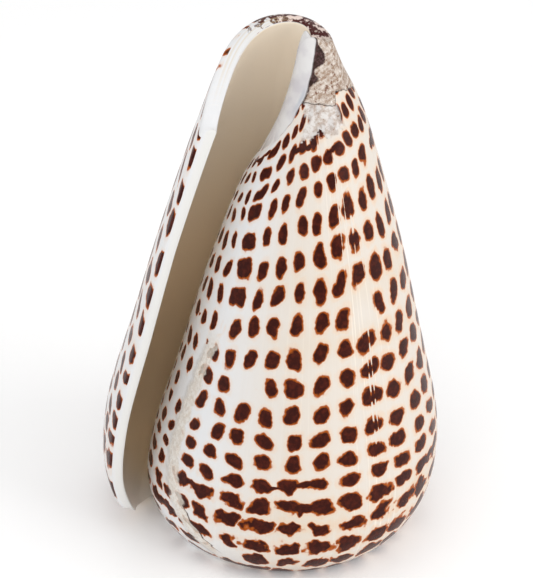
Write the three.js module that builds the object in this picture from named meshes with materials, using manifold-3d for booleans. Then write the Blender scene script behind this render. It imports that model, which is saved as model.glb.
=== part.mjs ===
// A right-handed cone shell, standing on its flat spire with the narrow anterior end up.
// Millimetres, +Z up, the front along -Y. The aperture is the long slit at the front left.
//
// Growth is counted by the growth angle: the angle in degrees about the coiling axis, counted
// anticlockwise from above and on through every turn. The outer lip is the newest shell.
import * as THREE from "three";
import { mergeVertices } from "three/addons/utils/BufferGeometryUtils.js";
import Module from "manifold-3d";

// Where the coiling axis stands from the middle of the shell's footprint.
const AXIS_X = 1.73;
const AXIS_Y = -2.06;

// The coil.
const HEIGHT = 105; // to the top of the anterior margin
const LIP_ANGLE = 205; // growth angle of the outer lip
const WHORL_GROWTH = 1.35; // how much wider and taller one more turn makes the shell

// Half of the outline at the lip, as [radius, height]: ramp, shoulder, side, slender end.
const OUTLINE = [
  [24.5, 0],
  [28, 0],
  [31.9, 3.5],
  [35.1, 11],
  [34.9, 24],
  [30.4, 45],
  [25.4, 66],
  [19.3, 88],
  [14, 104],
  [9.1, 113],
  [5.2, 122],
  [2.2, 135],
  [1.6, 152],
];
const OUTLINE_START = 1; // the point where the shoulder leaves the flat ramp

// Gentle swellings that make the whorl less than perfectly regular.
const SWELLINGS = [
  { angle: -150, height: 4, width: 55, spread: 12, rise: 0.95 },
  { angle: -150, height: 38, width: 55, spread: 20, rise: -1 },
  { angle: -150, height: 70, width: 55, spread: 18, rise: -0.45 },
  { angle: 0, height: 25, width: 55, spread: 22, rise: 2.3 },
  { angle: 0, height: 60, width: 60, spread: 20, rise: 1.05 },
  { angle: -75, height: 6, width: 45, spread: 12, rise: 0.7 },
  { angle: 150, height: 20, width: 50, spread: 18, rise: 0.8 },
];

// The wall and the hollow behind the aperture.
const WALL = 2.5;
const WALL_AT_MARGIN = 1.5;
const MARGIN_TAPER = 12; // the wall thins over this last height
const FLOOR = 2.2; // thickness of the ramp over the hollow
const HOLLOW_START = -60; // growth angle where the modelled hollow ends inside
const NARROWEST_GAP = 0.4;

// The anterior margin: highest at the back, rounded off at the lip.
const LIP_CORNER_DROP = 8.5;
const LIP_CORNER_ANGLE = 38;

// The posterior notch, where the foot of the lip draws back from the body whorl.
const NOTCH_ANGLE = 23;
const NOTCH_HEIGHT = 8;

// The spire.
const SUTURE_RADIUS = 23.7; // at the lip
const SUTURE_TURNS = 2;
const SUTURE_WIDTH = 1.2;
const SUTURE_DEPTH = 0.6;
const APEX_RADIUS = 13;
const APEX_DEPTH = 1.1;

// How finely the surfaces are divided.
const ANGLE_STEP = 6;
const ROWS = 21;
const HOLLOW_ROWS = 15;
const CLEAR = 0.05; // keeps a cutter off a surface that it would only graze
const PAST = 4; // how far a cutter runs out past the lip, in degrees, and the margin, in mm

const outline = new THREE.CatmullRomCurve3(OUTLINE.map(([r, z]) => new THREE.Vector3(r, 0, z)));
const firstShare = OUTLINE_START / (OUTLINE.length - 1);

const growth = (angle) => WHORL_GROWTH ** ((angle - LIP_ANGLE) / 360);

// The share of the way along the outline at which it reaches a height.
function shareAtHeight(height) {
  let low = firstShare;
  let high = 1;
  for (let i = 0; i < 40; i++) {
    const middle = (low + high) / 2;
    if (outline.getPoint(middle).z < height) low = middle;
    else high = middle;
  }
  return (low + high) / 2;
}

function swelling(angle, height) {
  const rise = (s) => {
    const across = (angle - s.angle) / s.width;
    const along = (height - s.height) / s.spread;
    return s.rise * Math.exp(-across * across - along * along);
  };
  return SWELLINGS.reduce((sum, s) => sum + rise(s), 0);
}

function outerRadius(angle, height) {
  const g = growth(angle);
  return g * outline.getPoint(shareAtHeight(height / g)).x + swelling(angle, height);
}

function marginHeight(angle) {
  const fromLip = (LIP_ANGLE - angle) / LIP_CORNER_ANGLE;
  return HEIGHT - LIP_CORNER_DROP * Math.exp(-fromLip * fromLip);
}

// A point of the part from its place in the half plane at a growth angle.
function place(angle, radius, height) {
  const a = THREE.MathUtils.degToRad(angle);
  const x = AXIS_X + radius * Math.cos(a);
  const y = AXIS_Y + radius * Math.sin(a);
  return new THREE.Vector3(x, y, height);
}

const range = (count) => Array.from({ length: count }, (_, i) => i);

// Numbers from first to last in equal steps, both ends included.
const steps = (first, last, count) =>
  range(count + 1).map((i) => first + ((last - first) * i) / count);

function meshOf(points, faces) {
  const geometry = new THREE.BufferGeometry().setFromPoints(points);
  return geometry.setIndex(faces.flat());
}

// One closed mesh through a row of equal closed loops. The cap is a list of faces over one
// loop, and may use one more point, the hub, given for each end.
function loft(loops, cap, hubs = []) {
  const size = loops[0].length;
  const points = [...loops.flat(), ...hubs];
  const faces = [];
  for (let k = 0; k + 1 < loops.length; k++) {
    for (let i = 0; i < size; i++) {
      const a = k * size + i;
      const b = k * size + ((i + 1) % size);
      faces.push([a, b, b + size], [a, b + size, a + size]);
    }
  }
  const last = (loops.length - 1) * size;
  const hubStart = loops.length * size;
  for (const [i, j, k] of cap(size)) {
    const corner = (n, offset, hub) => (n === size ? hubStart + hub : n + offset);
    faces.push([corner(j, 0, 0), corner(i, 0, 0), corner(k, 0, 0)]);
    faces.push([corner(i, last, 1), corner(j, last, 1), corner(k, last, 1)]);
  }
  return meshOf(points, faces);
}

// Cap of a loop that goes round a hub.
const fanCap = (size) => range(size).map((i) => [i, (i + 1) % size, size]);

// Cap of a loop that runs up one side and down the other.
const ladderCap = (size) =>
  range(size / 2 - 1).flatMap((i) => [
    [i, i + 1, size - 2 - i],
    [i, size - 2 - i, size - 1 - i],
  ]);

// A solid swept about the axis. For each angle, section gives pairs of points, inner and
// outer, from the bottom up, each as [radius, height].
function sweep(angles, section) {
  const loops = angles.map((angle) => {
    const rungs = section(angle);
    const inner = rungs.map(([point]) => place(angle, ...point));
    const outer = rungs.map(([, point]) => place(angle, ...point)).reverse();
    return [...inner, ...outer];
  });
  return loft(loops, ladderCap);
}

// Everything inside the last whorl's outer surface, with the step where the lip stands off.
function filledShell() {
  const angles = steps(LIP_ANGLE - 360, LIP_ANGLE, 360 / ANGLE_STEP);
  const loops = steps(0, 1, ROWS).map((t) =>
    angles.map((angle) => {
      const g = growth(angle);
      const lastShare = shareAtHeight(marginHeight(angle) / g);
      const point = outline.getPoint(firstShare + (lastShare - firstShare) * t);
      const height = g * point.z;
      return place(angle, g * point.x + swelling(angle, height), height);
    }),
  );
  return loft(loops, fanCap, [place(0, 0, 0), place(0, 0, HEIGHT)]);
}

// The hollow between the last whorl's wall and the whorl before it, open at the lip and above.
function hollow() {
  const insideLip = steps(HOLLOW_START, LIP_ANGLE, Math.round((LIP_ANGLE - HOLLOW_START) / ANGLE_STEP));
  return sweep([...insideLip, LIP_ANGLE + PAST], (angle) =>
    steps(0, 1, HOLLOW_ROWS).map((t) => {
      const height = FLOOR + (HEIGHT + PAST - FLOOR) * t ** 1.3;
      const toMargin = (marginHeight(angle) - height) / MARGIN_TAPER;
      const wall = THREE.MathUtils.lerp(WALL_AT_MARGIN, WALL, THREE.MathUtils.clamp(toMargin, 0, 1));
      const inner = outerRadius(angle - 360, height) + (angle > LIP_ANGLE ? CLEAR : 0);
      const outer = Math.max(outerRadius(angle, height) - wall, inner + NARROWEST_GAP);
      return [
        [inner, height],
        [outer, height],
      ];
    }),
  );
}

// The notch at the foot of the lip: nothing at its inner end, full height at the lip.
function notch() {
  const bottom = -2;
  const beyond = 60;
  return sweep(steps(LIP_ANGLE - NOTCH_ANGLE, LIP_ANGLE + PAST, 9), (angle) => {
    const along = (angle - LIP_ANGLE + NOTCH_ANGLE) / NOTCH_ANGLE;
    const top = CLEAR + NOTCH_HEIGHT * Math.min(1, along) ** 1.5;
    return steps(bottom, top, 6).map((height) => [
      [outerRadius(angle - 360, Math.max(0, height)) + 2 * CLEAR, height],
      [beyond, height],
    ]);
  });
}

// The groove along the suture, winding in to the apex.
function suture() {
  const turned = 360 * SUTURE_TURNS;
  const end = LIP_ANGLE - NOTCH_ANGLE;
  const angles = steps(end - turned, end, turned / (2 * ANGLE_STEP));
  return sweep(angles, (angle) => {
    const middle = SUTURE_RADIUS * growth(angle);
    const half = (SUTURE_WIDTH / 2) * growth(angle);
    const deep = SUTURE_DEPTH * growth(angle);
    return [
      [
        [middle - 2 * half, -deep],
        [middle + 2 * half, -deep],
      ],
      [
        [middle - 0.05 * half, deep],
        [middle + 0.05 * half, deep],
      ],
    ];
  });
}

// The shallow dish of the sunken early whorls.
function apexDish() {
  const bottom = -1;
  const bowl = steps(1, 0, 5).map(
    (t) => new THREE.Vector2(APEX_RADIUS * t, APEX_DEPTH * (1 - t * t)),
  );
  const profile = [new THREE.Vector2(0, bottom), new THREE.Vector2(APEX_RADIUS, bottom), ...bowl];
  const dish = new THREE.LatheGeometry(profile, 30);
  return dish.rotateX(Math.PI / 2).translate(AXIS_X, AXIS_Y, 0);
}

const wasm = await Module();
wasm.setup();

function solid(geometry) {
  const bare = geometry.clone();
  bare.deleteAttribute("normal");
  bare.deleteAttribute("uv");
  const merged = mergeVertices(bare, 1e-4);
  const vertProperties = merged.attributes.position.array;
  const triVerts = new Uint32Array(merged.index.array);
  return new wasm.Manifold(new wasm.Mesh({ numProp: 3, vertProperties, triVerts }));
}

function geometryOf(manifold) {
  const mesh = manifold.getMesh();
  const position = new THREE.BufferAttribute(new Float32Array(mesh.vertProperties), 3);
  const geometry = new THREE.BufferGeometry().setAttribute("position", position);
  geometry.setIndex(new THREE.BufferAttribute(mesh.triVerts, 1));
  geometry.computeVertexNormals();
  return geometry;
}

const cuts = [hollow(), notch(), suture(), apexDish()];
const carved = cuts.reduce((body, cut) => body.subtract(solid(cut)), solid(filledShell()));

const porcelain = new THREE.MeshStandardMaterial({
  color: "#e9ddcb",
  roughness: 0.25,
  metalness: 0,
});
const shell = new THREE.Mesh(geometryOf(carved), porcelain);
shell.name = "shell";

const group = new THREE.Group();
group.add(shell);
export default group;
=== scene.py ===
"""A right-handed cone shell standing on its flat spire, one closed mesh with painted markings."""
import math

import bpy
import numpy as np
from mathutils import Matrix, Vector


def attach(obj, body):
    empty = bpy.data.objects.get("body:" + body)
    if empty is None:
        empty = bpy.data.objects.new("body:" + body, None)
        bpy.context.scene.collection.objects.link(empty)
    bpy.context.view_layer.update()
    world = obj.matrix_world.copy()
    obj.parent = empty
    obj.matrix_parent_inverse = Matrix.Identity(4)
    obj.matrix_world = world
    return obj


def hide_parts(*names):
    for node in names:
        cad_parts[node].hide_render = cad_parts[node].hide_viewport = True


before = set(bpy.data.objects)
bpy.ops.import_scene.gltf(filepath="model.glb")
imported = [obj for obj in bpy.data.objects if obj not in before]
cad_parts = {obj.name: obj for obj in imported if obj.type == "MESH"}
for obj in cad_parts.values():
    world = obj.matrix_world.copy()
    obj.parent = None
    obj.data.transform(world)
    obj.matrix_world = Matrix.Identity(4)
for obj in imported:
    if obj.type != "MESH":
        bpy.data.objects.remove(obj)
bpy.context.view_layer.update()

MM = 0.001

# ---------------------------------------------------------------------------------------------
# The coil, in millimetres, as the frame's model has it. Growth angles are in degrees about the
# coiling axis, anticlockwise from above, and run on through every turn up to the lip.

AXIS_X = 1.73
AXIS_Y = -2.06
HEIGHT = 105
LIP_ANGLE = 205
TURN = 360
WHORL_START = LIP_ANGLE - TURN
WHORL_GROWTH = 1.35
OUTLINE = [
    (24.5, 0), (28, 0), (31.9, 3.5), (35.1, 11), (34.9, 24), (30.4, 45), (25.4, 66),
    (19.3, 88), (14, 104), (9.1, 113), (5.2, 122), (2.2, 135), (1.6, 152),
]
SWELLINGS = [  # growth angle, height, width in degrees, spread in height, rise
    (-150, 4, 55, 12, 0.95), (-150, 38, 55, 20, -1), (-150, 70, 55, 18, -0.45),
    (0, 25, 55, 22, 2.3), (0, 60, 60, 20, 1.05), (-75, 6, 45, 12, 0.7), (150, 20, 50, 18, 0.8),
]
WALL = 2.5
WALL_AT_MARGIN = 3.3
MARGIN_TAPER = 24  # height below the margin over which the wall thickens
MARGIN_ROUND = 0.8
HOLLOW_START = 25
HOLLOW_RAMP = 25  # degrees over which the hollow deepens to its floor
HOLLOW_WIDENING = 90  # degrees over which the wall thins down from the columella
LIP_CORNER_DROP = 8.5
LIP_CORNER_ANGLE = 38
LIP_BEND_DROP = 9  # the lower, tighter part of the bend from the margin into the lip
LIP_BEND_ANGLE = 15
CANAL_DROP = 2.3  # how far the margin dips round the right side of the siphon's canal
CANAL_ANGLE = 22
CANAL_WIDTH = 50
COLUMELLA_DROP = 3.2  # how far the columella's top slopes down to the aperture
COLUMELLA_SLOPE_END = -75
COLUMELLA_SLOPE = 80
LIP_ROUND = 3.4  # degrees over which the lip's edge rounds off
OUTER_ROUNDING = 0.74  # shares of the wall that the two sides lose at the edge
INNER_ROUNDING = 0.1
NOTCH_ANGLE = 23
NOTCH_HEIGHT = 5.5
NOTCH_FADE = 60  # degrees over which the notch grows towards the lip
OLD_NOTCH_FADES = (60, 50)  # degrees before and after the whorl's start
OLD_NOTCH_SPREAD = 6
COLUMELLA_TOP = 104.87
CORE_GAP = 0.05  # between the wall's inner side and the whorl before
FLOOR_SAG = 0.3
FLOOR_SAG_RAMP = 40
RAMP_DISH = 0.3
OUTLINE_SAMPLES = 60  # on each span of the outline
WELD_SIZE = 1e-5
SHARP_ANGLE = 65

# Rows of the mesh, as heights on the outline at the lip.
ROW_HEIGHTS = np.concatenate([
    [0, 0.5, 1.4, 3],
    np.linspace(3, 24, 22)[1:],
    np.linspace(24, 80, 41)[1:],
    np.linspace(80, HEIGHT, 47)[1:],
])
SUTURE_ROW = 2
FLOOR_ROW = 3
TOP_ROW = len(ROW_HEIGHTS) - 1
ANGLE_STEP = 1.5
SPIRE_TURNS = 5
SPIRE_LIFT = 1.3  # how far the apex is sunk into the flat spire
SPIRE_LIFT_TURNS = 2.5
RAMP_ROWS = 7
CREST_ROWS = 8
COLUMELLA_ROWS = 4
FLOOR_ROWS = RAMP_ROWS + 2
LIP_STEPS = (LIP_ROUND, 2.7, 2, 1.4, 0.9, 0.5, 0.25, 0.1, 0)  # degrees from the lip's edge


def catmull_rom(points, samples):
    """Points along the centripetal Catmull-Rom curve from the second of the given points on."""
    points = np.array(points, float)
    padded = np.vstack([points, 2 * points[-1] - points[-2]])
    spans = []
    for p0, p1, p2, p3 in zip(padded, padded[1:], padded[2:], padded[3:]):
        d0, d1, d2 = (math.dist(a, b) ** 0.5 for a, b in ((p0, p1), (p1, p2), (p2, p3)))
        slope_1 = ((p1 - p0) / d0 - (p2 - p0) / (d0 + d1) + (p2 - p1) / d1) * d1
        slope_2 = ((p2 - p1) / d1 - (p3 - p1) / (d1 + d2) + (p3 - p2) / d2) * d1
        t = np.linspace(0, 1, samples, endpoint=False)[:, None]
        square = -3 * p1 + 3 * p2 - 2 * slope_1 - slope_2
        cube = 2 * p1 - 2 * p2 + slope_1 + slope_2
        spans.append(p1 + slope_1 * t + square * t**2 + cube * t**3)
    return np.vstack([*spans, points[-1:]])


OUTLINE_R, OUTLINE_Z = catmull_rom(OUTLINE, OUTLINE_SAMPLES).T


def smooth(x):
    """0 below 0, 1 above 1, and a smooth step between."""
    x = np.clip(x, 0, 1)
    return x * x * (3 - 2 * x)


def growth(angle):
    return WHORL_GROWTH ** ((angle - LIP_ANGLE) / TURN)


def outer_radius(angle, height):
    g = growth(angle)
    radius = g * np.interp(height / g, OUTLINE_Z, OUTLINE_R)
    for at_angle, at_height, width, spread, rise in SWELLINGS:
        across = (angle - at_angle) / width
        along = (height - at_height) / spread
        radius = radius + rise * np.exp(-across**2 - along**2)
    return radius


def margin_height(angle):
    corner = LIP_CORNER_DROP * np.exp(-(((LIP_ANGLE - angle) / LIP_CORNER_ANGLE) ** 2))
    corner = corner + LIP_BEND_DROP * np.exp(-(((LIP_ANGLE - angle) / LIP_BEND_ANGLE) ** 2))
    canal = CANAL_DROP * np.exp(-(((CANAL_ANGLE - angle) / CANAL_WIDTH) ** 2))
    slope = COLUMELLA_DROP * smooth((COLUMELLA_SLOPE_END - angle) / COLUMELLA_SLOPE)
    return HEIGHT - corner - canal - slope


def wall(angle, height):
    to_margin = np.clip((margin_height(angle) - height) / MARGIN_TAPER, 0, 1)
    return WALL_AT_MARGIN + (WALL - WALL_AT_MARGIN) * to_margin


def draw_back(angle, row_height):
    """How far growth lags behind the section's angle, so that the foot of the lip is notched, and
    the foot of the whorl before a turn back with it."""
    near_lip = smooth((angle - LIP_ANGLE + NOTCH_FADE) / NOTCH_FADE)
    lag = NOTCH_ANGLE * (1 - min(row_height / NOTCH_HEIGHT, 1))
    past_start = angle - WHORL_START
    fade_in, fade_out = OLD_NOTCH_FADES
    before, after = smooth(past_start / fade_in + 1), 1 - smooth(past_start / fade_out)
    near_start = np.where(past_start < 0, before, after)
    above = max(row_height - ROW_HEIGHTS[SUTURE_ROW], 0) / OLD_NOTCH_SPREAD
    return -lag * near_lip - NOTCH_ANGLE * math.exp(-above**2) * near_start


def row_place(angle, row):
    """Growth angle, radius and height of a row of the outer surface."""
    row_height = ROW_HEIGHTS[row]
    angle = angle + draw_back(angle, row_height)
    share = row_height / HEIGHT
    to_top = smooth(share * 2)
    top = margin_height(angle) - MARGIN_ROUND
    height = growth(angle) * row_height * (1 - to_top) + top * share * to_top
    return angle, outer_radius(angle, height), height


def spire_lift(angle):
    return SPIRE_LIFT * smooth((WHORL_START - angle) / (SPIRE_LIFT_TURNS * TURN))


class Surface:
    """The closed surface as columns of points that run along the growth, one for each step of a
    section's path: from the axis at the top, down the whorl before, over the hollow's floor, up
    the wall's inner side, over the margin, down the outer side and in along the flat spire."""

    def __init__(self):
        regular = np.arange(WHORL_START, LIP_ANGLE - LIP_STEPS[0], ANGLE_STEP)
        self.angles = np.concatenate([regular, LIP_ANGLE - np.array(LIP_STEPS)])
        self.columns = []
        self.hollow = self.angles >= HOLLOW_START
        to_edge = np.clip((LIP_ANGLE - self.angles) / LIP_ROUND, 0, 1)
        rounding = 1 - np.sqrt(1 - (1 - to_edge) ** 2)
        self.thinned = OUTER_ROUNDING * rounding
        self.thinned_inside = INNER_ROUNDING * rounding
        self.add_columella()
        self.add_floor()
        self.add_wall()
        self.add_spire()

    def add(self, angle, radius, height, row_height=0.0, inside=0.0):
        a = np.radians(angle)
        x = AXIS_X + radius * np.cos(a)
        y = AXIS_Y + radius * np.sin(a)
        values = np.broadcast_arrays(x, y, height, angle, row_height, inside)
        self.columns.append(np.stack(values, -1))

    def add_columella(self):
        """The columella's top and the whorl before, as far down as the hollow shows them."""
        _, top_r, top_z = row_place(self.angles, TOP_ROW)
        core_a, core_r, core_z = row_place(self.angles - TURN, TOP_ROW)
        slide = smooth((self.angles - WHORL_START) / (HOLLOW_START - WHORL_START))
        core_a = np.where(self.hollow, core_a, self.angles)
        core_r = np.where(self.hollow, core_r, top_r + (core_r - top_r) * slide)
        self.opening = smooth((self.angles - HOLLOW_START) / HOLLOW_WIDENING)
        core_z = top_z + (core_z - top_z) * self.opening
        for t in np.arange(COLUMELLA_ROWS) / COLUMELLA_ROWS:
            self.add(core_a, core_r * t, core_z + (COLUMELLA_TOP - core_z) * (1 - t * t), HEIGHT)
        deep = smooth((self.angles - HOLLOW_START) / HOLLOW_RAMP)
        foot_z = row_place(self.angles - TURN, FLOOR_ROW)[2]
        self.floor = np.where(self.hollow, core_z + (foot_z - core_z) * deep, core_z)
        depth = (LIP_ANGLE - self.angles) / TURN
        for row in range(TOP_ROW, FLOOR_ROW - 1, -1):
            a, r, z = row_place(self.angles - TURN, row)
            z = np.maximum(z, self.floor)
            r = np.where(self.hollow, outer_radius(a, z), core_r)
            a = np.where(self.hollow, a, core_a)
            z = np.where(self.hollow, z, core_z)
            self.add(a, r, z, ROW_HEIGHTS[row], depth)
        self.foot = (a, r, z)
        self.slid = (core_a, core_r, core_z)
        self.depth = depth

    def inner_side(self, row):
        a, r, z = row_place(self.angles, row)
        low = row_place(self.angles, FLOOR_ROW)[2]
        top = row_place(self.angles, TOP_ROW)[2]
        z = self.floor + (top - self.floor) * (z - low) / (top - low)
        clear = outer_radius(a - TURN, z) + CORE_GAP
        r = outer_radius(a, z) - wall(a, z) * (1 - self.thinned_inside)
        r = clear + np.maximum(r - clear, 0) * self.opening
        slid_a, slid_r, slid_z = self.slid
        a = np.where(self.hollow, a, slid_a)
        return a, np.where(self.hollow, r, slid_r), np.where(self.hollow, z, slid_z)

    def add_floor(self):
        a, r, z = self.inner_side(FLOOR_ROW)
        foot_a, foot_r, foot_z = self.foot
        foot_a = np.where(self.hollow, foot_a + TURN, foot_a)
        deepest = FLOOR_SAG * smooth((self.angles - HOLLOW_START) / FLOOR_SAG_RAMP)
        for t in np.linspace(0, 1, FLOOR_ROWS + 2):
            sag = deepest * np.sin(math.pi * t)
            self.add(foot_a + (a - foot_a) * t, foot_r + (r - foot_r) * t,
                     foot_z + (z - foot_z) * t - sag, ROW_HEIGHTS[FLOOR_ROW], 1 + self.depth)

    def add_wall(self):
        """The wall's inner side, the anterior margin rounded over it, and the outer side."""
        for row in range(FLOOR_ROW, TOP_ROW + 1):
            self.add(*self.inner_side(row), ROW_HEIGHTS[row], 1 + self.depth)
        in_r = self.inner_side(TOP_ROW)[1]
        a, r, z = row_place(self.angles, TOP_ROW)
        out_r = r - wall(a, z) * self.thinned
        half = np.maximum(out_r - in_r, 0) / 2
        rise = MARGIN_ROUND * np.minimum(half, 1)
        for t in np.linspace(0, math.pi, CREST_ROWS + 2)[1:-1]:
            radius = in_r + half * (1 - math.cos(t))
            self.add(a, radius, z + rise * math.sin(t), HEIGHT, -(1 + math.cos(t)) / 2)
        for row in range(TOP_ROW, -1, -1):
            a, r, z = row_place(self.angles, row)
            self.add(a, r - wall(a, z) * self.thinned, z, ROW_HEIGHTS[row])

    def add_spire(self):
        """The ramp in to the suture, then each earlier whorl's shoulder and ramp. The innermost
        whorl opens out from the axis over its turn."""
        opening = smooth((self.angles - WHORL_START) / TURN)
        opened = [1] * SPIRE_TURNS + [opening, 0]
        for turn in range(SPIRE_TURNS + 1):
            whorl = self.angles - TURN * turn
            for row in range(SUTURE_ROW, -1, -1) if turn else ():
                a, r, z = self.shoulder(whorl, row, opened[turn])
                self.add(a, r, z, ROW_HEIGHTS[row])
            self.add_ramp(whorl, opened[turn], opened[turn + 1])
        self.add(self.angles, 0, SPIRE_LIFT)

    def shoulder(self, angle, row, opened):
        a, r, z = row_place(angle, row)
        return a, r * opened, SPIRE_LIFT + (z + spire_lift(angle) - SPIRE_LIFT) * opened

    def add_ramp(self, angle, opened, next_opened):
        a_out, r_out, z_out = self.shoulder(angle, 0, opened)
        a_in, r_in, z_in = self.shoulder(angle - TURN, SUTURE_ROW, next_opened)
        for t in np.linspace(0, 1, RAMP_ROWS + 2)[1:]:
            dish = RAMP_DISH * growth(angle) * math.sin(math.pi * t) ** 2 * opened
            self.add(a_out + (a_in + TURN - a_out) * t, r_out + (r_in - r_out) * t,
                     z_out + (z_in - z_out) * t**3 + dish)

    def faces(self):
        """Quads between the columns, and the lip's end face as rungs from its inner side to its
        outer side, as indices into the points in order of columns."""
        columns, sections = len(self.columns), len(self.angles)
        index = np.arange(columns * sections).reshape(columns, sections)
        corners = index[:-1, :-1], index[1:, :-1], index[1:, 1:], index[:-1, 1:]
        quads = np.stack(corners, -1).reshape(-1, 4)
        first = COLUMELLA_ROWS + TOP_ROW - FLOOR_ROW
        inner = FLOOR_ROWS + 2 + TOP_ROW - FLOOR_ROW + 1
        outer = CREST_ROWS + TOP_ROW + 1 + RAMP_ROWS + 2
        edge = index[first:first + inner + outer + 1, -1]
        half = len(edge) // 2
        low, high = edge[:half], edge[::-1][:half]
        rungs = np.stack([low[:-1], low[1:], high[1:], high[:-1]], -1)
        return np.vstack([quads, rungs])


def weld(points, faces):
    """The distinct points, and the faces on them with their corners' indices before welding."""
    keys = np.round(points[:, :3] / WELD_SIZE).astype(np.int64)
    _, first, inverse = np.unique(keys, axis=0, return_index=True, return_inverse=True)
    inverse = inverse.reshape(-1)
    rings, corners = [], []
    for face in faces:
        ring = inverse[face]
        kept = [n for n in range(4) if ring[n] != ring[n - 1]]
        if len(kept) > 2 and len({ring[n] for n in kept}) == len(kept):
            rings.append([ring[n] for n in kept])
            corners.append([face[n] for n in kept])
    return points[first, :3], rings, corners


def shell_object():
    surface = Surface()
    columns = np.concatenate(surface.columns)
    points, rings, corners = weld(columns, surface.faces())
    mesh = bpy.data.meshes.new("cone_shell")
    mesh.from_pydata((points * MM).tolist(), [], rings)
    order = np.concatenate(corners)
    for n, name in enumerate(("growth_angle", "row_height", "inside")):
        layer = mesh.attributes.new(name, "FLOAT", "CORNER")
        layer.data.foreach_set("value", columns[order, 3 + n].astype(np.float32))
    mesh.update()
    mesh.shade_smooth()
    mesh.set_sharp_from_angle(angle=math.radians(SHARP_ANGLE))
    shell = bpy.data.objects.new("cone_shell", mesh)
    bpy.context.scene.collection.objects.link(shell)
    return shell


# ---------------------------------------------------------------------------------------------
# Materials

SCAR_ANGLE = -143.5
SCAR_HEIGHT = 29
PAUSE_ANGLE = -46
SPOT_PITCH = 12.3  # degrees
SPOT_COLUMN = -97  # growth angle of one column
LIP_CROWDING = 0.036  # more columns for each degree near the lip
CROWDING_START = 155
ROW_KNOTS = ((2, 0), (22.3, 4), (34, 7), (48.5, 10), (78.4, 15), (92, 18.5))  # height, row
ROW_SPREADING = 0.0015  # how much further apart the rows are for each degree
ROW_SPREAD_HEIGHT = 28
ROW_WAVE = 1.3  # millimetres that the rows rise and fall over a turn
ROWS_PER_MM = (0.2, 0.25)  # below the first knot and above the last
SPOT_JITTER = 0.16
SPOT_LEAN = 0.7
SPOT_SQUARENESS = 2.2  # 2 for an ellipse
SPOTS_THERE = 0.985  # share of the spots that aren't left out
BAR_LENGTH = 0.36
WOBBLE = 330  # scale of the noise that moves the spots about
SPECKLE = 1100  # scale of the noise that frays edges

LINE_RELIEF = 0.03  # millimetres
WAVE_RELIEF = 0.05
GLAZE_RELIEF = 0.3
ROUGHNESS = 0.27
FASCIOLE_ROUGHNESS = 0.35  # added to the rest of the shell's
IOR = 1.2


class Value:
    """A number in a node tree: arithmetic on it adds Math nodes."""

    def __init__(self, tree, socket):
        self.tree = tree
        self.socket = socket

    def math(self, operation, *others):
        node = self.tree.nodes.new("ShaderNodeMath")
        node.operation = operation
        for slot, value in zip(node.inputs, (self, *others)):
            feed(self.tree, slot, value)
        return Value(self.tree, node.outputs[0])

    def __add__(self, other):
        return self.math("ADD", other)

    def __sub__(self, other):
        return self.math("SUBTRACT", other)

    def __rsub__(self, other):
        return -self + other

    def __neg__(self):
        return self.math("MULTIPLY", -1)

    def __mul__(self, other):
        return self.math("MULTIPLY", other)

    def __truediv__(self, other):
        return self.math("DIVIDE", other)

    def __pow__(self, other):
        return self.math("POWER", other)

    def floor(self):
        return self.math("FLOOR")

    def abs(self):
        return self.math("ABSOLUTE")

    def min(self, other):
        return self.math("MINIMUM", other)

    def max(self, other):
        return self.math("MAXIMUM", other)

    def step(self, low, high):
        """0 below low, 1 above high, smooth between; the other way round if high is lower."""
        node = self.tree.nodes.new("ShaderNodeMapRange")
        node.interpolation_type = "SMOOTHSTEP"
        feed(self.tree, node.inputs["Value"], self)
        ends = (low, high, 0, 1) if low < high else (high, low, 1, 0)
        for name, value in zip(("From Min", "From Max", "To Min", "To Max"), ends):
            node.inputs[name].default_value = value
        return Value(self.tree, node.outputs["Result"])

    def bell(self, centre, width):
        """1 at the centre, falling smoothly to 0 at that distance from it."""
        return (self - centre).abs().step(width, 0)


def feed(tree, slot, value):
    if isinstance(value, Value):
        tree.links.new(value.socket, slot)
    else:
        slot.default_value = value


def attribute(tree, name):
    node = tree.nodes.new("ShaderNodeAttribute")
    node.attribute_name = name
    return Value(tree, node.outputs["Fac"])


def vector(tree, *parts):
    node = tree.nodes.new("ShaderNodeCombineXYZ")
    for slot, value in zip(node.inputs, parts):
        feed(tree, slot, value)
    return Value(tree, node.outputs[0])


def noise(tree, place, scale=1.0, detail=2.0, roughness=0.5):
    node = tree.nodes.new("ShaderNodeTexNoise")
    feed(tree, node.inputs["Vector"], place)
    node.inputs["Scale"].default_value = scale
    node.inputs["Detail"].default_value = detail
    node.inputs["Roughness"].default_value = roughness
    return Value(tree, node.outputs["Fac"])


def chance(tree, *cell):
    """Three random numbers from 0 to 1 for each cell."""
    node = tree.nodes.new("ShaderNodeTexWhiteNoise")
    feed(tree, node.inputs["Vector"], vector(tree, *cell))
    split = tree.nodes.new("ShaderNodeSeparateColor")
    tree.links.new(node.outputs["Color"], split.inputs[0])
    return [Value(tree, output) for output in split.outputs]


def colour(code):
    """A hexadecimal sRGB colour as linear numbers."""
    parts = [int(code[n:n + 2], 16) / 255 for n in (1, 3, 5)]
    return (*[p / 12.92 if p <= 0.04045 else ((p + 0.055) / 1.055) ** 2.4 for p in parts], 1)


def mix(tree, share, first, second):
    node = tree.nodes.new("ShaderNodeMix")
    node.data_type = "RGBA"
    feed(tree, node.inputs[0], share)
    for slot, value in ((node.inputs[6], first), (node.inputs[7], second)):
        feed(tree, slot, colour(value) if isinstance(value, str) else value)
    return Value(tree, node.outputs[2])


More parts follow.
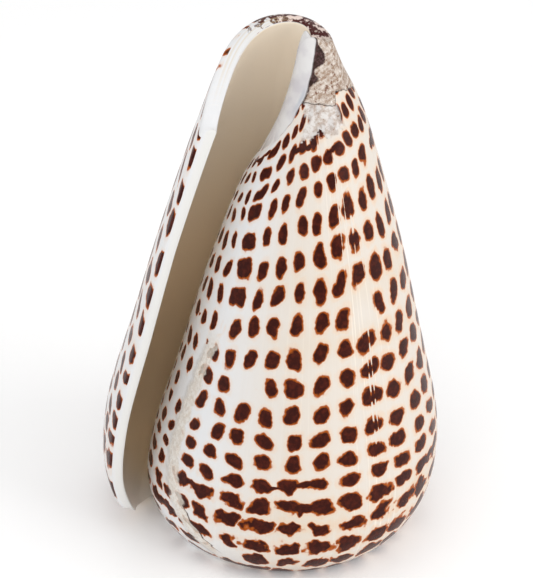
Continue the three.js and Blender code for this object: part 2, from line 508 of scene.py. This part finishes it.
class Growth:
    """The fields that the markings are laid out in: growth angle in degrees, height in the lip's
    millimetres, how far inside the aperture, and the place."""

    def __init__(self, tree):
        self.tree = tree
        self.angle = attribute(tree, "growth_angle")
        self.height = attribute(tree, "row_height")
        self.inside = attribute(tree, "inside")
        self.place = Value(tree, tree.nodes.new("ShaderNodeTexCoord").outputs["Object"])
        self.outside = self.inside.step(0.08, 0.06)
        self.scar = self.from_scar()
        self.line = self.from_growth_line()
        self.right = self.angle.step(-95, -20) * self.angle.step(140, 80)
        self.border = self.from_callus()
        self.paused = self.line.bell(0, 11) * self.angle.bell(-50, 60)

    def noise(self, scale, detail=2.0, roughness=0.5, seed=0.0):
        """Noise with features of about 1 / scale metres."""
        shift = vector(self.tree, seed, seed * 1.7, seed * -2.3)
        moved = self.tree.nodes.new("ShaderNodeVectorMath")
        feed(self.tree, moved.inputs[0], self.place)
        feed(self.tree, moved.inputs[1], shift)
        return noise(self.tree, Value(self.tree, moved.outputs[0]), scale, detail, roughness)

    def noise_at(self, at, detail):
        return noise(self.tree, at, 1, detail)

    def streaks(self, per_degree, per_mm, detail=2.0, seed=0.0):
        """Noise drawn out along the growth lines."""
        at = vector(self.tree, self.angle * per_degree, self.height * per_mm, seed)
        return self.noise_at(at, detail)

    def from_scar(self):
        """Degrees from the healed break, which bows back from the shoulder up."""
        off = self.height - SCAR_HEIGHT
        bow = off.max(0) ** 2 * 0.025 + (-off).max(0) ** 2 * 0.055
        wander = (self.streaks(0, 0.5) - 0.5) * 7
        return self.angle - SCAR_ANGLE - bow + wander

    def from_callus(self):
        """Degrees past the ragged border of the columella's white glaze."""
        wander = (self.noise(300, 2, 0.5, 5.0) - 0.5) * 14
        lower = (95 - self.height).max(0) * 2.6
        return self.angle + wander - (self.height - 101) * 3.4 + 61 + lower

    def from_growth_line(self):
        """Degrees from the line where growth paused, with its crowded growth lines."""
        lean = (self.height - 50).max(0) ** 2 * -0.012
        return self.angle - PAUSE_ANGLE - lean


def spot_rows(g):
    """Row number at each place: the rows spread apart towards the top as the shell grows."""
    turned = g.angle + 90
    wave = (turned * (math.tau / 345) - 0.14).math("SINE") * ROW_WAVE
    spread = (turned * ROW_SPREADING + 1).max(0.35)
    level = (g.height - wave + (spread - 1) * ROW_SPREAD_HEIGHT) / spread
    row = 0
    for (low, first), (high, last) in zip(ROW_KNOTS, ROW_KNOTS[1:]):
        rate = (last - first) / (high - low)
        row = (level.max(low).min(high) - low) * rate + row
    below, above = (level - ROW_KNOTS[0][0]).min(0), (level - ROW_KNOTS[-1][0]).max(0)
    return row + above * ROWS_PER_MM[1] + below * ROWS_PER_MM[0]


def spot_layer(g):
    """Distance from the nearest spot's outline, as a share of its size: under 1 inside it."""
    low = g.height.step(30, 18)
    high = g.height.step(80, 86) * g.angle.step(110, 60)
    repaired = g.scar.step(2, -2) * g.angle.step(-120, -130) * g.angle.step(-200, -190)
    sway = low * 0.5 + 0.42
    u = (g.angle - SPOT_COLUMN) / SPOT_PITCH + (g.angle - CROWDING_START).max(0) * LIP_CROWDING
    u = u + repaired * 0.5 + (g.noise(WOBBLE, 2, 0.5, 0.3) - 0.5) * sway
    v = spot_rows(g) + (g.noise(WOBBLE, 2, 0.5, 0.7) - 0.5) * sway
    column, row = (u + 0.5).floor(), (v + 0.5).floor()
    wide, tall, lean = chance(g.tree, column, row, 0.5)
    left, up, there = chance(g.tree, column, row, 7.5)
    fu = u - column - (left - 0.5) * SPOT_JITTER
    fv = v - row - (up - 0.5) * SPOT_JITTER
    fu = fu + fv * (lean - 0.5) * SPOT_LEAN
    small = repaired * 0.03
    across = wide * 0.07 + 0.25 + low * 0.11 + high * 0.08 + g.right * 0.05 - small
    across = across + g.paused * g.height.step(25, 40) * 0.12
    along = tall * 0.07 + 0.3 - high * 0.02 - small * 0.5
    power = SPOT_SQUARENESS
    shape = ((fu.abs() / across) ** power + (fv.abs() / along) ** power) ** (1 / power)
    shape = shape + (there - SPOTS_THERE).step(0, 0.01) * 3
    # Bars that join two spots of a row, more of them low down and in the top rows.
    middle = u.floor()
    join, offset, _ = chance(g.tree, middle, row, 13.5)
    wanted = low * 0.1 + high * 0.4 + 0.02
    bu = (u - middle - 0.5).abs() / BAR_LENGTH
    bv = (v - row - (offset - 0.5) * 0.3).abs() / (low * 0.1 + 0.14)
    bar = (bu ** 2 + bv ** 2) ** 0.5 + (join - wanted).step(0, 0.005) * 3
    shape = shape.math("SMOOTH_MIN", bar, 0.35)
    return shape + (g.noise(SPECKLE, 2, 0.5, 0.9) - 0.5) * 0.3


def smudge(g, shape):
    """Spots fade towards the lip's edge, in the aperture, on the fasciole and across the scar."""
    keep = g.outside * g.angle.step(204.2, 203.4) * g.fasciole.step(0.6, 0.3)
    over = g.inside.step(-0.42, -0.34) * g.angle.step(120, 130) * g.angle.step(190, 184)
    keep = keep * g.height.step(104.6, 104).max(over)
    gap = g.scar.bell(-3.5, 3.5) * g.angle.step(-110, -120) * g.height.step(52, 46)
    torn = g.streaks(0.7, 0.03, 2, 2.0).step(0.55, 0.62) * g.paused * g.height.step(25, 40)
    return shape + gap * 1.6 + torn * 0.6 + (1 - keep) * 4


def porcelain(g):
    """White where it is thickest, cream beyond the growth pause and in faint spiral bands."""
    bands = g.height.bell(62, 6) + g.height.bell(51, 5) * 0.8 + g.height.bell(18, 9) * 0.9
    drift = g.noise(45, 2, 0.5, 1.1).step(0.35, 0.65)
    warm = g.angle.step(-135, -80) * g.angle.step(150, 90)
    cream = warm * 0.7 + bands * 0.3 * (drift * 0.6 + 0.4) + g.streaks(0.35, 0.02, 3) * 0.2 - 0.05
    tone = mix(g.tree, cream.min(1).max(0), "#dadbdd", "#d2c6b7")
    lines = g.streaks(1.1, 0.03, 3, 5.0).step(0.54, 0.7)
    paused = g.line.bell(-2, 20) * g.angle.bell(-50, 70)
    return mix(g.tree, lines * (paused * 0.5 + 0.12), tone, "#efe6d9")


def add_spots(g, paint):
    shape = smudge(g, spot_layer(g))
    halo = shape.step(1.7, 1.0) * (g.right * 0.4 + 0.6)
    rim = shape.step(1.17, 1.0)
    dark = shape.step(1.0, 0.8)
    paint = mix(g.tree, halo * 0.45, paint, "#e0b284")
    paint = mix(g.tree, rim, paint, "#a04d12")
    mottle = g.noise(900, 3, 0.6, 2.0).step(0.4, 0.7)
    core = mix(g.tree, mottle, "#330c05", "#4a180b")
    return mix(g.tree, dark, paint, core)


def fasciole_field(g):
    """1 on the rough band round the anterior tip, above a stepped edge."""
    edge = (g.noise(420, 3, 0.6, 4.0) - 0.5) * 5
    level = g.angle.step(-36, -26) * 2.5 + 93.8 - g.angle.step(-100, -120) * 3
    field = (g.height + edge * 0.25 - level).step(-0.2, 0.2) * g.outside * g.angle.step(80, 50)
    return field * g.border.step(-2, 2)


def add_fasciole(g, paint):
    """Rough grey-beige growth with pits, painted glints and striae, stained dark along the callus.
    """
    grains = g.noise(1700, 4, 0.7, 3.0)
    striae = g.noise_at(vector(g.tree, g.height * 1.6 - g.angle * 0.09, g.angle * 0.03, 2), 3)
    tone = mix(g.tree, (grains * 0.6 + striae * 0.5).step(0.42, 0.68), "#9c826e", "#d9cec4")
    # The brightest grains are painted glints.
    tone = mix(g.tree, grains.step(0.62, 0.68), tone, "#f4f0ea")
    specks = g.noise(SPECKLE, 2, 0.6, 6.0).step(0.6, 0.66)
    tone = mix(g.tree, specks * 0.75, tone, "#6b3a1c")
    ragged = g.border + (g.noise(500, 3, 0.6, 7.0) - 0.5) * 30
    wide = g.height.bell(102.3, 3.4) * 30 + g.height.bell(98, 2) * 14 + 3
    stain = (wide - ragged).step(-3, 3)
    dirt = mix(g.tree, grains.step(0.4, 0.7), "#24100f", "#4d2b2f")
    tone = mix(g.tree, stain * 0.95, tone, dirt)
    return mix(g.tree, g.fasciole, paint, tone)


def add_flakes_and_step_shadow(g, paint):
    """The flaky grey patch below the fasciole's stepped edge, and a dark line painted as the step's
    shadow.
    """
    ragged = (g.noise(350, 3, 0.6, 14.0) - 0.5) * 9
    patch = (g.height + ragged).step(88.8, 89.4) * (g.angle + ragged * 3).step(-84, -80)
    patch = patch * g.angle.step(-30, -36) * g.outside
    flakes = g.noise(900, 3, 0.7, 11.0)
    tone = mix(g.tree, flakes.step(0.4, 0.6), "#b3a79e", "#d2cecb")
    tone = mix(g.tree, flakes.step(0.36, 0.31), tone, "#7d5a42")
    cracks = g.noise_at(vector(g.tree, g.height * 0.5 - g.angle * 0.12, g.angle * 0.05, 7), 3)
    paint = mix(g.tree, patch * (1 - g.fasciole) * cracks.step(0.3, 0.4) * 0.9, paint, tone)
    # Painted shadow: the dark line along the fasciole's step.
    step = g.fasciole.bell(0.35, 0.3) * g.angle.step(-100, -90) * g.angle.step(10, -10)
    return mix(g.tree, step * 0.8, paint, "#3b2219")


def add_rim_stain(g, paint):
    """Dark red-brown growth on the margin round the siphon's end, with pale flakes in it."""
    patches = g.noise(600, 3, 0.6, 12.0)
    start = (g.angle + (patches - 0.5) * 130).step(148, 143)
    here = g.height.step(104.6, 104.95) * g.outside * start * g.angle.step(20, 40)
    tone = mix(g.tree, patches.step(0.5, 0.6), "#4a2322", "#e2cfc6")
    return mix(g.tree, here * patches.step(0.3, 0.4), paint, tone)


def callus_field(g):
    """1 under the white glaze down the columella."""
    return g.border.step(2, -2) * g.height.step(80, 90) * g.angle.step(60, 20)


def add_callus(g, paint):
    cover = callus_field(g)
    tone = mix(g.tree, g.noise(260, 3, 0.5, 9.0).step(0.4, 0.7), "#d3d1d0", "#c2bec1")
    cool = g.height.bell(94.5, 3) * g.border.bell(-6, 9)
    tone = mix(g.tree, cool * 0.6, tone, "#9fa7b3")
    return mix(g.tree, cover * g.outside.max(g.inside.step(1, 0.9)), paint, tone)


def scar_fields(g):
    """1 round the healed break, and 1 on its strip of rough repair."""
    here = g.angle.step(-110, -118) * g.angle.step(-175, -168) * g.height.step(51, 46) * g.outside
    return here, g.scar.step(4, 2.5) * g.scar.step(-8, -3) * here


def add_scar(g, paint):
    """Gritty repair along the break, with a dark crack low down at its right."""
    here, strip = scar_fields(g)
    grit = g.noise(SPECKLE, 4, 0.7, 8.0)
    tone = mix(g.tree, grit.step(0.4, 0.62), "#cbbfb0", "#dfd9d0")
    tone = mix(g.tree, grit.step(0.68, 0.72), tone, "#8a5a34")
    paint = mix(g.tree, strip * 0.7, paint, tone)
    crack = g.scar.bell(3.2, 0.8) * here * g.height.step(18, 14)
    return mix(g.tree, crack, paint, "#3a2018")


def add_inside_with_painted_shade(g, paint):
    """Cream inside, warmer and browner in the depth beside the whorl before as painted shade, with
    the layers of growth as faint lines along the margin."""
    # The inside tones below are painted shade: warmer and browner deeper in the aperture and on the
    # whorl before.
    wall = g.inside.step(0.97, 1.0)
    depth = (g.inside - 1).step(0, 0.12)
    up = g.height.step(40, 92)
    deep = mix(g.tree, up, "#fbe6c6", "#efe2cf")
    tone = mix(g.tree, depth, "#f1e9de", deep)
    core = mix(g.tree, up, "#fae2be", "#e4dcd2")
    tone = mix(g.tree, wall, core, tone)
    cap = g.height.step(102.5, 104.8) * g.inside.step(1.0, 0.985).max(g.angle.step(75, 50))
    paint = mix(g.tree, g.inside.step(0.05, 0.13) * (1 - cap), paint, tone)
    layers = g.noise_at(vector(g.tree, g.inside * 9, g.angle * 0.006, 4), 2).step(0.46, 0.6)
    crest = g.inside.step(-0.2, -0.5) * g.angle.step(100, 130) * g.angle.step(198, 180)
    paint = mix(g.tree, crest * layers * 0.35, paint, "#cdb892")
    edge = g.angle.step(204.0, 204.6) * g.inside.step(1.004, 1.0)
    return mix(g.tree, edge, paint, "#d9d8d5")


def relief(g):
    """Height in millimetres for the bump: growth lines, the rough band, the scar and the callus."""
    fine = g.streaks(1.6, 0.02, 3, 6.0) * LINE_RELIEF + g.noise(120, 2) * WAVE_RELIEF
    rough = g.fasciole * (g.noise(1300, 4, 0.7, 3.0) * 0.5 + 0.25)
    scar = scar_fields(g)[1] * (g.noise(SPECKLE, 3, 0.7, 8.0) * 0.3 + 0.12)
    return fine + rough.max(callus_field(g) * GLAZE_RELIEF) + scar


def shell_material():
    material = bpy.data.materials.new("shell")
    material.use_nodes = True
    tree = material.node_tree
    tree.nodes.clear()
    shader = tree.nodes.new("ShaderNodeBsdfPrincipled")
    output = tree.nodes.new("ShaderNodeOutputMaterial")
    tree.links.new(shader.outputs[0], output.inputs[0])
    g = Growth(tree)
    g.fasciole = fasciole_field(g)
    paint = add_spots(g, porcelain(g))
    paint = add_scar(g, paint)
    paint = add_fasciole(g, paint)
    paint = add_flakes_and_step_shadow(g, paint)
    paint = add_rim_stain(g, paint)
    paint = add_callus(g, paint)
    paint = add_inside_with_painted_shade(g, paint)
    feed(tree, shader.inputs["Base Color"], paint)
    feed(tree, shader.inputs["Roughness"], g.fasciole * FASCIOLE_ROUGHNESS + ROUGHNESS)
    shader.inputs["IOR"].default_value = IOR
    bump = tree.nodes.new("ShaderNodeBump")
    bump.inputs["Distance"].default_value = MM
    feed(tree, bump.inputs["Height"], relief(g))
    tree.links.new(bump.outputs[0], shader.inputs["Normal"])
    return material


# ---------------------------------------------------------------------------------------------
# The studio, in metres and watts but for the camera's aim and distance, in millimetres

FLOOR_HALF = 1.5
FLOOR_ROUGHNESS = 0.6
SKY = 0.86
LIGHT_AIM = (0, 0, 0.05)
LIGHT_SIZE = 0.5
LIGHTS = (
    ("left", (-0.45, -0.35, 0.6), 0.5),
    ("front", (-0.15, -0.75, 0.45), 1.3),
    ("right", (0.6, -0.2, 0.32), 1.7),
)
CAMERA_AIM = (-4.282, 50.403)  # across and up from the foot of the coiling axis
CAMERA_DISTANCE = 399.87
CAMERA_ELEVATION = 30.595
CAMERA_ROLL = 3.443
CAMERA_LENS = 128.72
SENSOR_WIDTH = 36
NEAR_CLIP = 0.01


def studio():
    floor_mesh = bpy.data.meshes.new("floor")
    signs = (-1, -1), (1, -1), (1, 1), (-1, 1)
    corners = [(x * FLOOR_HALF, y * FLOOR_HALF, 0) for x, y in signs]
    floor_mesh.from_pydata(corners, [], [(0, 1, 2, 3)])
    floor = bpy.data.objects.new("floor", floor_mesh)
    bpy.context.scene.collection.objects.link(floor)
    material = bpy.data.materials.new("floor")
    material.use_nodes = True
    shader = material.node_tree.nodes["Principled BSDF"]
    shader.inputs["Base Color"].default_value = colour("#ffffff")
    shader.inputs["Roughness"].default_value = FLOOR_ROUGHNESS
    floor_mesh.materials.append(material)


def area_light(name, place, power):
    light = bpy.data.lights.new(name, "AREA")
    light.size = LIGHT_SIZE
    light.energy = power
    lamp = bpy.data.objects.new(name, light)
    lamp.location = place
    towards = Vector(LIGHT_AIM) - Vector(place)
    lamp.rotation_euler = towards.to_track_quat("-Z", "Y").to_euler()
    bpy.context.scene.collection.objects.link(lamp)


def lights():
    world = bpy.data.worlds.new("world")
    world.use_nodes = True
    background = world.node_tree.nodes["Background"]
    background.inputs["Color"].default_value = (1, 1, 1, 1)
    background.inputs["Strength"].default_value = SKY
    bpy.context.scene.world = world
    for name, place, power in LIGHTS:
        area_light(name, place, power)


def camera():
    data = bpy.data.cameras.new("camera")
    data.lens = CAMERA_LENS
    data.sensor_width = SENSOR_WIDTH
    data.clip_start = NEAR_CLIP
    view = bpy.data.objects.new("camera", data)
    e, roll = math.radians(CAMERA_ELEVATION), math.radians(CAMERA_ROLL)
    back = Vector((0, -math.cos(e), math.sin(e)))
    right, up = Vector((1, 0, 0)), Vector((0, math.sin(e), math.cos(e)))
    across = math.cos(roll) * right + math.sin(roll) * up
    upward = math.cos(roll) * up - math.sin(roll) * right
    aim = Vector((AXIS_X + CAMERA_AIM[0], AXIS_Y, CAMERA_AIM[1]))
    place = (aim + back * CAMERA_DISTANCE) * MM
    turn = Matrix((across, upward, back)).transposed()
    view.matrix_world = Matrix.Translation(place) @ turn.to_4x4()
    bpy.context.scene.collection.objects.link(view)
    bpy.context.scene.camera = view


bpy.context.scene.view_settings.view_transform = "Standard"
camera()
studio()
lights()
shell = shell_object()
shell.data.materials.append(shell_material())
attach(shell, "root")
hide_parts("shell")
